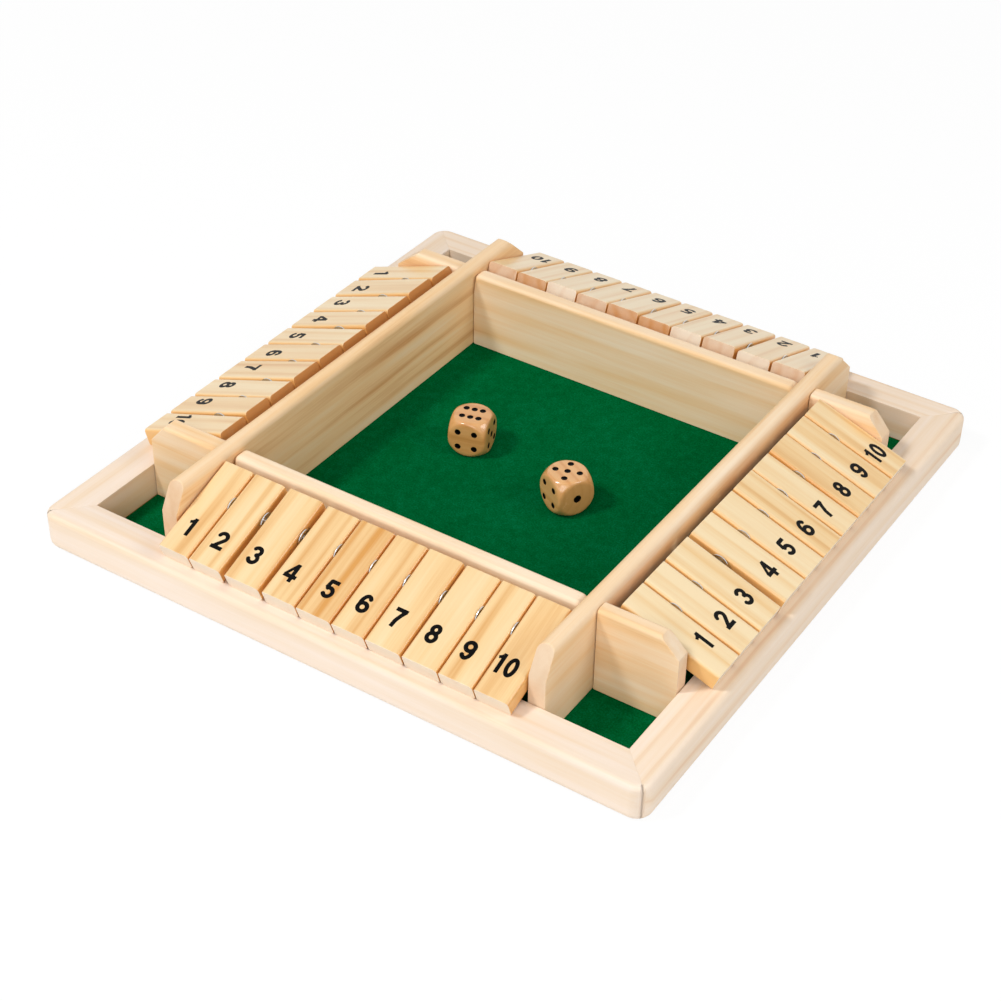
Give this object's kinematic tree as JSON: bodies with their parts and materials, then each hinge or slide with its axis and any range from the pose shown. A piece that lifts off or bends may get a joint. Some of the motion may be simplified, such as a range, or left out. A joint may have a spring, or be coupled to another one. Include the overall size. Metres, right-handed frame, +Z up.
{
  "type": "shut the box game",
  "caption": "Square wooden dice game tray for one player a side: felt floor, mitred frame, and along each side a row of flip-over numbered tiles on a steel rod, with wooden dice.",
  "frame": {"origin": "on the surface that the game rests on, below the centre of the tray", "axes": "+Z up, +X along the front row from its tile 1 to its tile 10, +Y from the front row to the back row"},
  "size_m": [0.303, 0.303, 0.0451],
  "materials": {
    "frame_wood": "bare sanded pale pine",
    "tile_wood": "bare sanded yellow pine",
    "base_board": "matt hardboard",
    "felt": "green felt",
    "rod_steel": "bright plated steel",
    "die_wood": "clear gloss lacquer"
  },
  "bodies": {
    "tray": {"base_board": "base_board", "felt_sheet": "felt", "rail_front": "frame_wood", "rail_right": "frame_wood", "rail_back": "frame_wood", "rail_left": "frame_wood", "long_wall_left": "frame_wood", "long_wall_right": "frame_wood", "short_wall_front": "frame_wood", "short_wall_back": "frame_wood", "cheek_front_left": "frame_wood", "cheek_front_right": "frame_wood", "cheek_back_left": "frame_wood", "cheek_back_right": "frame_wood", "rod_front": "rod_steel", "rod_right": "rod_steel", "rod_back": "rod_steel", "rod_left": "rod_steel"},
    "tile_front_01": {"tile_front_01": "tile_wood"},
    "tile_front_02": {"tile_front_02": "tile_wood"},
    "tile_front_03": {"tile_front_03": "tile_wood"},
    "tile_front_04": {"tile_front_04": "tile_wood"},
    "tile_front_05": {"tile_front_05": "tile_wood"},
    "tile_front_06": {"tile_front_06": "tile_wood"},
    "tile_front_07": {"tile_front_07": "tile_wood"},
    "tile_front_08": {"tile_front_08": "tile_wood"},
    "tile_front_09": {"tile_front_09": "tile_wood"},
    "tile_front_10": {"tile_front_10": "tile_wood"},
    "tile_right_01": {"tile_right_01": "tile_wood"},
    "tile_right_02": {"tile_right_02": "tile_wood"},
    "tile_right_03": {"tile_right_03": "tile_wood"},
    "tile_right_04": {"tile_right_04": "tile_wood"},
    "tile_right_05": {"tile_right_05": "tile_wood"},
    "tile_right_06": {"tile_right_06": "tile_wood"},
    "tile_right_07": {"tile_right_07": "tile_wood"},
    "tile_right_08": {"tile_right_08": "tile_wood"},
    "tile_right_09": {"tile_right_09": "tile_wood"},
    "tile_right_10": {"tile_right_10": "tile_wood"},
    "tile_back_01": {"tile_back_01": "tile_wood"},
    "tile_back_02": {"tile_back_02": "tile_wood"},
    "tile_back_03": {"tile_back_03": "tile_wood"},
    "tile_back_04": {"tile_back_04": "tile_wood"},
    "tile_back_05": {"tile_back_05": "tile_wood"},
    "tile_back_06": {"tile_back_06": "tile_wood"},
    "tile_back_07": {"tile_back_07": "tile_wood"},
    "tile_back_08": {"tile_back_08": "tile_wood"},
    "tile_back_09": {"tile_back_09": "tile_wood"},
    "tile_back_10": {"tile_back_10": "tile_wood"},
    "tile_left_01": {"tile_left_01": "tile_wood"},
    "tile_left_02": {"tile_left_02": "tile_wood"},
    "tile_left_03": {"tile_left_03": "tile_wood"},
    "tile_left_04": {"tile_left_04": "tile_wood"},
    "tile_left_05": {"tile_left_05": "tile_wood"},
    "tile_left_06": {"tile_left_06": "tile_wood"},
    "tile_left_07": {"tile_left_07": "tile_wood"},
    "tile_left_08": {"tile_left_08": "tile_wood"},
    "tile_left_09": {"tile_left_09": "tile_wood"},
    "tile_left_10": {"tile_left_10": "tile_wood"},
    "die_left": {"die_left": "die_wood"},
    "die_right": {"die_right": "die_wood"}
  },
  "joints": [
    {"name": "tile_front_01_flip", "type": "hinge", "parent": "tray", "child": "tile_front_01", "pos_m": [0, -0.11617, 0.0331], "axis": [-1, 0, 0], "range_deg": [0, 166.5]},
    {"name": "tile_front_02_flip", "type": "hinge", "parent": "tray", "child": "tile_front_02", "pos_m": [0, -0.11617, 0.0331], "axis": [-1, 0, 0], "range_deg": [0, 166.5]},
    {"name": "tile_front_03_flip", "type": "hinge", "parent": "tray", "child": "tile_front_03", "pos_m": [0, -0.11617, 0.0331], "axis": [-1, 0, 0], "range_deg": [0, 166]},
    {"name": "tile_front_04_flip", "type": "hinge", "parent": "tray", "child": "tile_front_04", "pos_m": [0, -0.11617, 0.0331], "axis": [-1, 0, 0], "range_deg": [0, 166.5]},
    {"name": "tile_front_05_flip", "type": "hinge", "parent": "tray", "child": "tile_front_05", "pos_m": [0, -0.11617, 0.0331], "axis": [-1, 0, 0], "range_deg": [0, 166.5]},
    {"name": "tile_front_06_flip", "type": "hinge", "parent": "tray", "child": "tile_front_06", "pos_m": [0, -0.11617, 0.0331], "axis": [-1, 0, 0], "range_deg": [0, 166.5]},
    {"name": "tile_front_07_flip", "type": "hinge", "parent": "tray", "child": "tile_front_07", "pos_m": [0, -0.11617, 0.0331], "axis": [-1, 0, 0], "range_deg": [0, 166]},
    {"name": "tile_front_08_flip", "type": "hinge", "parent": "tray", "child": "tile_front_08", "pos_m": [0, -0.11617, 0.0331], "axis": [-1, 0, 0], "range_deg": [0, 166.5]},
    {"name": "tile_front_09_flip", "type": "hinge", "parent": "tray", "child": "tile_front_09", "pos_m": [0, -0.11617, 0.0331], "axis": [-1, 0, 0], "range_deg": [0, 166.5]},
    {"name": "tile_front_10_flip", "type": "hinge", "parent": "tray", "child": "tile_front_10", "pos_m": [0, -0.11617, 0.0331], "axis": [-1, 0, 0], "range_deg": [0, 166]},
    {"name": "tile_right_01_flip", "type": "hinge", "parent": "tray", "child": "tile_right_01", "pos_m": [0.11617, 0, 0.0331], "axis": [0, -1, 0], "range_deg": [0, 161]},
    {"name": "tile_right_02_flip", "type": "hinge", "parent": "tray", "child": "tile_right_02", "pos_m": [0.11617, 0, 0.0331], "axis": [0, -1, 0], "range_deg": [0, 161]},
    {"name": "tile_right_03_flip", "type": "hinge", "parent": "tray", "child": "tile_right_03", "pos_m": [0.11617, 0, 0.0331], "axis": [0, -1, 0], "range_deg": [0, 161]},
    {"name": "tile_right_04_flip", "type": "hinge", "parent": "tray", "child": "tile_right_04", "pos_m": [0.11617, 0, 0.0331], "axis": [0, -1, 0], "range_deg": [0, 161]},
    {"name": "tile_right_05_flip", "type": "hinge", "parent": "tray", "child": "tile_right_05", "pos_m": [0.11617, 0, 0.0331], "axis": [0, -1, 0], "range_deg": [0, 161]},
    {"name": "tile_right_06_flip", "type": "hinge", "parent": "tray", "child": "tile_right_06", "pos_m": [0.11617, 0, 0.0331], "axis": [0, -1, 0], "range_deg": [0, 161]},
    {"name": "tile_right_07_flip", "type": "hinge", "parent": "tray", "child": "tile_right_07", "pos_m": [0.11617, 0, 0.0331], "axis": [0, -1, 0], "range_deg": [0, 161]},
    {"name": "tile_right_08_flip", "type": "hinge", "parent": "tray", "child": "tile_right_08", "pos_m": [0.11617, 0, 0.0331], "axis": [0, -1, 0], "range_deg": [0, 160.5]},
    {"name": "tile_right_09_flip", "type": "hinge", "parent": "tray", "child": "tile_right_09", "pos_m": [0.11617, 0, 0.0331], "axis": [0, -1, 0], "range_deg": [0, 161]},
    {"name": "tile_right_10_flip", "type": "hinge", "parent": "tray", "child": "tile_right_10", "pos_m": [0.11617, 0, 0.0331], "axis": [0, -1, 0], "range_deg": [0, 161]},
    {"name": "tile_back_01_flip", "type": "hinge", "parent": "tray", "child": "tile_back_01", "pos_m": [0, 0.11617, 0.0331], "axis": [1, 0, 0], "range_deg": [0, 166]},
    {"name": "tile_back_02_flip", "type": "hinge", "parent": "tray", "child": "tile_back_02", "pos_m": [0, 0.11617, 0.0331], "axis": [1, 0, 0], "range_deg": [0, 166.5]},
    {"name": "tile_back_03_flip", "type": "hinge", "parent": "tray", "child": "tile_back_03", "pos_m": [0, 0.11617, 0.0331], "axis": [1, 0, 0], "range_deg": [0, 166]},
    {"name": "tile_back_04_flip", "type": "hinge", "parent": "tray", "child": "tile_back_04", "pos_m": [0, 0.11617, 0.0331], "axis": [1, 0, 0], "range_deg": [0, 166.5]},
    {"name": "tile_back_05_flip", "type": "hinge", "parent": "tray", "child": "tile_back_05", "pos_m": [0, 0.11617, 0.0331], "axis": [1, 0, 0], "range_deg": [0, 166.5]},
    {"name": "tile_back_06_flip", "type": "hinge", "parent": "tray", "child": "tile_back_06", "pos_m": [0, 0.11617, 0.0331], "axis": [1, 0, 0], "range_deg": [0, 166]},
    {"name": "tile_back_07_flip", "type": "hinge", "parent": "tray", "child": "tile_back_07", "pos_m": [0, 0.11617, 0.0331], "axis": [1, 0, 0], "range_deg": [0, 166.5]},
    {"name": "tile_back_08_flip", "type": "hinge", "parent": "tray", "child": "tile_back_08", "pos_m": [0, 0.11617, 0.0331], "axis": [1, 0, 0], "range_deg": [0, 166]},
    {"name": "tile_back_09_flip", "type": "hinge", "parent": "tray", "child": "tile_back_09", "pos_m": [0, 0.11617, 0.0331], "axis": [1, 0, 0], "range_deg": [0, 166.5]},
    {"name": "tile_back_10_flip", "type": "hinge", "parent": "tray", "child": "tile_back_10", "pos_m": [0, 0.11617, 0.0331], "axis": [1, 0, 0], "range_deg": [0, 166]},
    {"name": "tile_left_01_flip", "type": "hinge", "parent": "tray", "child": "tile_left_01", "pos_m": [-0.11617, 0, 0.0331], "axis": [0, 1, 0], "range_deg": [0, 161]},
    {"name": "tile_left_02_flip", "type": "hinge", "parent": "tray", "child": "tile_left_02", "pos_m": [-0.11617, 0, 0.0331], "axis": [0, 1, 0], "range_deg": [0, 161]},
    {"name": "tile_left_03_flip", "type": "hinge", "parent": "tray", "child": "tile_left_03", "pos_m": [-0.11617, 0, 0.0331], "axis": [0, 1, 0], "range_deg": [0, 161]},
    {"name": "tile_left_04_flip", "type": "hinge", "parent": "tray", "child": "tile_left_04", "pos_m": [-0.11617, 0, 0.0331], "axis": [0, 1, 0], "range_deg": [0, 161]},
    {"name": "tile_left_05_flip", "type": "hinge", "parent": "tray", "child": "tile_left_05", "pos_m": [-0.11617, 0, 0.0331], "axis": [0, 1, 0], "range_deg": [0, 161]},
    {"name": "tile_left_06_flip", "type": "hinge", "parent": "tray", "child": "tile_left_06", "pos_m": [-0.11617, 0, 0.0331], "axis": [0, 1, 0], "range_deg": [0, 161]},
    {"name": "tile_left_07_flip", "type": "hinge", "parent": "tray", "child": "tile_left_07", "pos_m": [-0.11617, 0, 0.0331], "axis": [0, 1, 0], "range_deg": [0, 161]},
    {"name": "tile_left_08_flip", "type": "hinge", "parent": "tray", "child": "tile_left_08", "pos_m": [-0.11617, 0, 0.0331], "axis": [0, 1, 0], "range_deg": [0, 161]},
    {"name": "tile_left_09_flip", "type": "hinge", "parent": "tray", "child": "tile_left_09", "pos_m": [-0.11617, 0, 0.0331], "axis": [0, 1, 0], "range_deg": [0, 160.5]},
    {"name": "tile_left_10_flip", "type": "hinge", "parent": "tray", "child": "tile_left_10", "pos_m": [-0.11617, 0, 0.0331], "axis": [0, 1, 0], "range_deg": [0, 161]},
    {"name": "die_left_lift", "type": "slide", "parent": "tray", "child": "die_left", "axis": [0, 0, 1], "range_m": [0, 0.05]},
    {"name": "die_right_lift", "type": "slide", "parent": "tray", "child": "die_right", "axis": [0, 0, 1], "range_m": [0, 0.05]}
  ]
}
